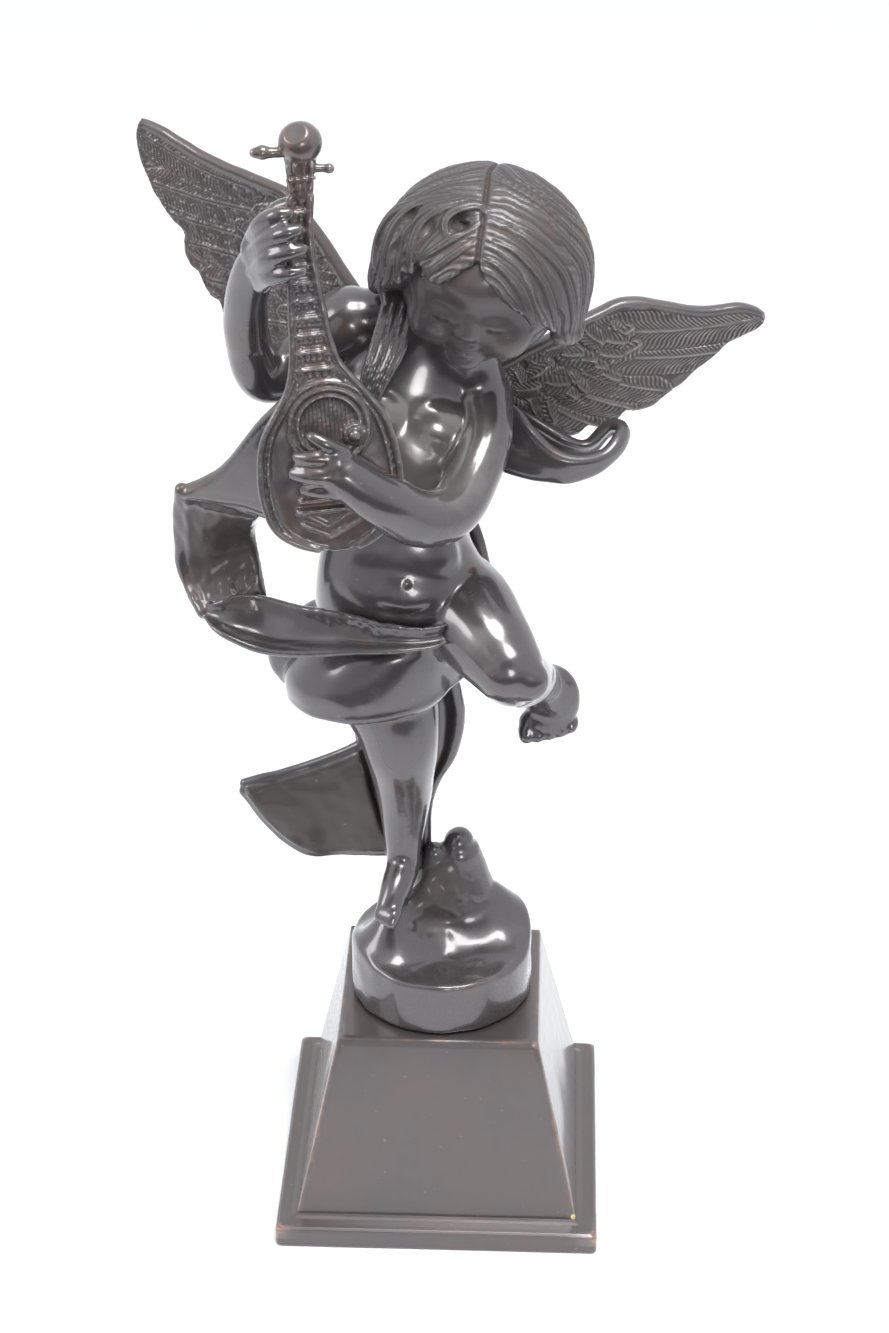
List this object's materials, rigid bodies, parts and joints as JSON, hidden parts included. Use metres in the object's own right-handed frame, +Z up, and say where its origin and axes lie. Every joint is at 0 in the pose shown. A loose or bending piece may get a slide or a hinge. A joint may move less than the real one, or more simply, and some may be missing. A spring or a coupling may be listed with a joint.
{
  "type": "statuette",
  "caption": "Cast bronze statuette of a winged cherub on one foot playing a mandolin, draped in a swirling sash, on a rock mound and a tapered square plinth.",
  "frame": {"origin": "centre of the plinth's underside", "axes": "+Z up, -Y the way the cherub and the mandolin face, +X towards the cherub's left hand side"},
  "size_m": [0.1922, 0.1055, 0.3728],
  "materials": {
    "figure_bronze": "dark brown-black patinated cast bronze, semi-gloss, with copper-coloured wear on high edges",
    "plinth_bronze": "dark brown-black patinated bronze, semi-gloss, smooth faces with copper-coloured worn edges"
  },
  "bodies": {
    "root": {"cherub": "figure_bronze", "plinth": "plinth_bronze"}
  },
  "joints": []
}
